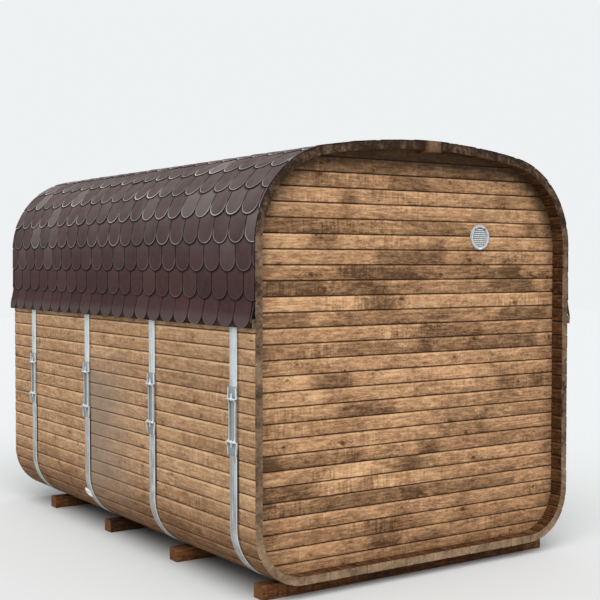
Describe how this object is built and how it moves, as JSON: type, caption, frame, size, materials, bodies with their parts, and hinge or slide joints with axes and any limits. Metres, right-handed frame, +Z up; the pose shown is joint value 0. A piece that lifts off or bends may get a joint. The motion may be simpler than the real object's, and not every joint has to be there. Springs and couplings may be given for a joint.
{
  "type": "outdoor sauna",
  "caption": "Squared barrel sauna of wooden staves with grooved-in plank end walls, steel tension straps, cross bearers, a round vent, a plank door and a shingle roof.",
  "frame": {"origin": "on the ground at the centre of the footprint, midway between the two ends", "axes": "+Z up, +Y along the body from the vent end towards the door end, +X to the right seen from the vent end"},
  "size_m": [2.346, 3.47, 2.4783],
  "materials": {
    "stave_wood": "planed softwood, weathered",
    "end_wall_wood": "planed softwood, streaked by weather",
    "door_wood": "planed softwood",
    "bearer_wood": "dark stained, weathered",
    "batten_wood": "weathered softwood",
    "shingle": "mineral granules on bitumen",
    "galvanised_steel": "hot-dip galvanised",
    "hinge_steel": "zinc plated",
    "vent_enamel": "white enamel, dusty"
  },
  "bodies": {
    "root": {"bearer_1": "bearer_wood", "bearer_2": "bearer_wood", "bearer_3": "bearer_wood", "bearer_4": "bearer_wood", "door_end_wall_left": "end_wall_wood", "door_end_wall_over": "end_wall_wood", "door_end_wall_right": "end_wall_wood", "door_end_wall_under": "end_wall_wood", "door_frame": "door_wood", "door_handle": "door_wood", "door_hinge_lower": "hinge_steel", "door_hinge_upper": "hinge_steel", "door_leaf": "door_wood", "floor_staves": "stave_wood", "left_crown_staves": "stave_wood", "left_eaves_batten": "batten_wood", "left_foot_staves": "stave_wood", "left_roof_covering": "shingle", "left_shoulder_staves": "stave_wood", "left_wall_staves": "stave_wood", "ridge_beam": "stave_wood", "ridge_cap": "shingle", "right_crown_staves": "stave_wood", "right_eaves_batten": "batten_wood", "right_foot_staves": "stave_wood", "right_roof_covering": "shingle", "right_shoulder_staves": "stave_wood", "right_wall_staves": "stave_wood", "strap_1_lower_band": "galvanised_steel", "strap_1_tensioners": "galvanised_steel", "strap_1_upper_band": "galvanised_steel", "strap_2_lower_band": "galvanised_steel", "strap_2_tensioners": "galvanised_steel", "strap_2_upper_band": "galvanised_steel", "strap_3_lower_band": "galvanised_steel", "strap_3_tensioners": "galvanised_steel", "strap_3_upper_band": "galvanised_steel", "strap_4_lower_band": "galvanised_steel", "strap_4_tensioners": "galvanised_steel", "strap_4_upper_band": "galvanised_steel", "vent_end_wall": "end_wall_wood", "vent_grille": "vent_enamel"}
  },
  "joints": []
}
